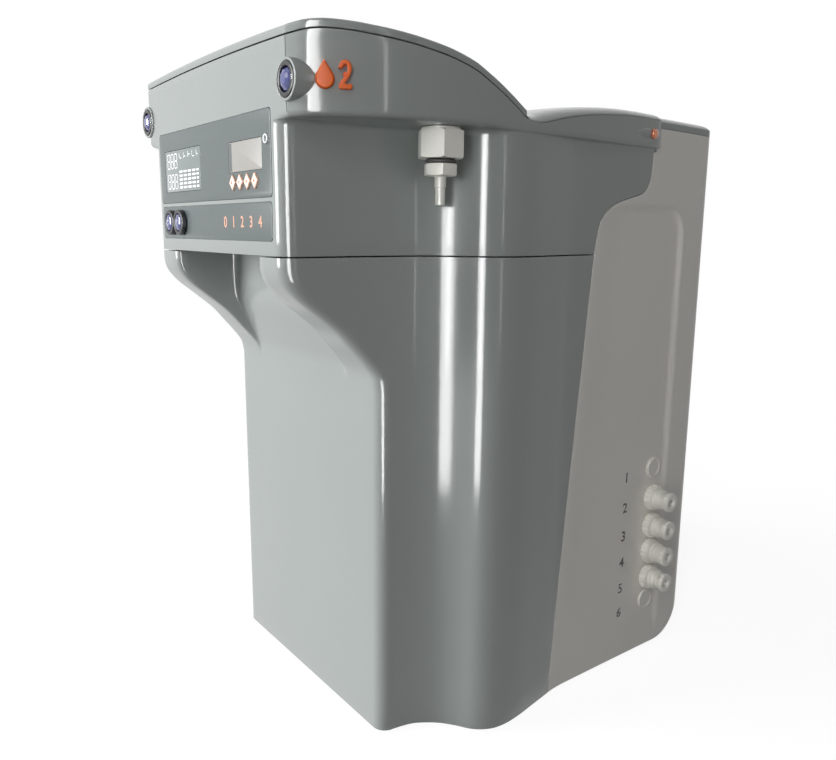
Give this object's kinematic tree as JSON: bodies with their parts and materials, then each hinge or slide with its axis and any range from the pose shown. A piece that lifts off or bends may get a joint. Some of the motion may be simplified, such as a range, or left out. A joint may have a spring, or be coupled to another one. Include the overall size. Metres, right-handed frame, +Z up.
{
  "type": "laboratory water purifier",
  "caption": "Bench-top laboratory water purifier with an overhanging dispensing head, a display panel, push-buttons, outlet nozzles at both sides and hose ports in its side.",
  "frame": {"origin": "on the bench, under the middle of the whole object's box", "axes": "+Z up, -Y towards the user (the fascia), +X to the right seen from the front"},
  "size_m": [0.3394, 0.4088, 0.5099],
  "materials": {
    "grey_shell": "glossy light grey, faintly green",
    "white_shell": "off-white, fine satin",
    "panel": "mid grey printed film, satin",
    "black": "black, satin",
    "blue": "blue-violet, glossy, domed",
    "orange": "orange, satin",
    "key": "pale orange and cream, satin",
    "lens": "grey display window, glossy",
    "fitting": "warm white acetal, satin",
    "rubber": "black, matte",
    "steel": "plain sheet, satin",
    "case_metal": "folded case, satin",
    "pump_metal": "black paint, semi-gloss",
    "board": "green laminate",
    "cartridge": "white moulded canister",
    "hose": "white hose"
  },
  "bodies": {
    "casing": {"base_plate": "steel", "booster_pump": "pump_metal", "button_strip": "panel", "deionising_cartridge": "cartridge", "dispense_bezel_left": "black", "dispense_bezel_right": "black", "display_board": "board", "display_panel": "panel", "front_foot_left": "rubber", "front_foot_right": "rubber", "hinge_rail": "steel", "inner_frame": "steel", "lcd_window": "lens", "lid_hinge_pin": "steel", "lower_housing": "grey_shell", "mains_inlet": "black", "meter_window": "lens", "mode_button_bezel": "black", "outlet_body_left": "fitting", "outlet_body_right": "fitting", "outlet_mark_left": "orange", "outlet_mark_right": "orange", "outlet_nut_left": "fitting", "outlet_nut_right": "fitting", "outlet_seal_left": "rubber", "outlet_seal_right": "rubber", "outlet_tip_left": "fitting", "outlet_tip_right": "fitting", "port_fitting_1": "fitting", "port_fitting_2": "fitting", "port_fitting_3": "fitting", "port_fitting_4": "fitting", "power_button_bezel": "black", "power_supply": "case_metal", "prefilter_cartridge": "cartridge", "rear_foot_left": "rubber", "rear_foot_right": "rubber", "rear_housing": "white_shell", "rear_top_cover": "grey_shell", "reverse_osmosis_module": "cartridge", "side_lamp_left": "orange", "side_lamp_right": "orange", "status_lamp": "fitting", "upper_housing": "grey_shell", "valve_manifold": "fitting", "water_hose_left": "hose", "water_hose_right": "hose"},
    "lid": {"top_lid": "grey_shell"},
    "dispense_cap_left": {"dispense_button_left": "blue"},
    "dispense_cap_right": {"dispense_button_right": "blue"},
    "power_cap": {"power_button_cap": "blue"},
    "mode_cap": {"mode_button_cap": "blue"},
    "key_1": {"menu_key_1": "key"},
    "key_2": {"menu_key_2": "key"},
    "key_3": {"menu_key_3": "key"},
    "key_4": {"menu_key_4": "key"},
    "collet_1": {"port_collet_1": "fitting"},
    "collet_2": {"port_collet_2": "fitting"},
    "collet_3": {"port_collet_3": "fitting"},
    "collet_4": {"port_collet_4": "fitting"}
  },
  "joints": [
    {"name": "lid_hinge", "type": "hinge", "parent": "casing", "child": "lid", "pos_m": [-0.00315, -0.04181, 0.46211], "axis": [-1, 0, 0], "range_deg": [0, 60]},
    {"name": "dispense_push_left", "type": "slide", "parent": "casing", "child": "dispense_cap_left", "axis": [0, 1, 0], "range_m": [0, 0.002], "stiffness_N_per_m": 500},
    {"name": "dispense_push_right", "type": "slide", "parent": "casing", "child": "dispense_cap_right", "axis": [0, 1, 0], "range_m": [0, 0.002], "stiffness_N_per_m": 500},
    {"name": "power_push", "type": "slide", "parent": "casing", "child": "power_cap", "axis": [0, 1, 0], "range_m": [0, 0.002], "stiffness_N_per_m": 500},
    {"name": "mode_push", "type": "slide", "parent": "casing", "child": "mode_cap", "axis": [0, 1, 0], "range_m": [0, 0.002], "stiffness_N_per_m": 500},
    {"name": "key_push_1", "type": "slide", "parent": "casing", "child": "key_1", "axis": [0, 1, 0], "range_m": [0, 0.0006], "stiffness_N_per_m": 800},
    {"name": "key_push_2", "type": "slide", "parent": "casing", "child": "key_2", "axis": [0, 1, 0], "range_m": [0, 0.0006], "stiffness_N_per_m": 800},
    {"name": "key_push_3", "type": "slide", "parent": "casing", "child": "key_3", "axis": [0, 1, 0], "range_m": [0, 0.0006], "stiffness_N_per_m": 800},
    {"name": "key_push_4", "type": "slide", "parent": "casing", "child": "key_4", "axis": [0, 1, 0], "range_m": [0, 0.0006], "stiffness_N_per_m": 800},
    {"name": "collet_release_1", "type": "slide", "parent": "casing", "child": "collet_1", "axis": [-1, 0, 0], "range_m": [0, 0.0015]},
    {"name": "collet_release_2", "type": "slide", "parent": "casing", "child": "collet_2", "axis": [-1, 0, 0], "range_m": [0, 0.0015]},
    {"name": "collet_release_3", "type": "slide", "parent": "casing", "child": "collet_3", "axis": [-1, 0, 0], "range_m": [0, 0.0015]},
    {"name": "collet_release_4", "type": "slide", "parent": "casing", "child": "collet_4", "axis": [-1, 0, 0], "range_m": [0, 0.0015]}
  ]
}
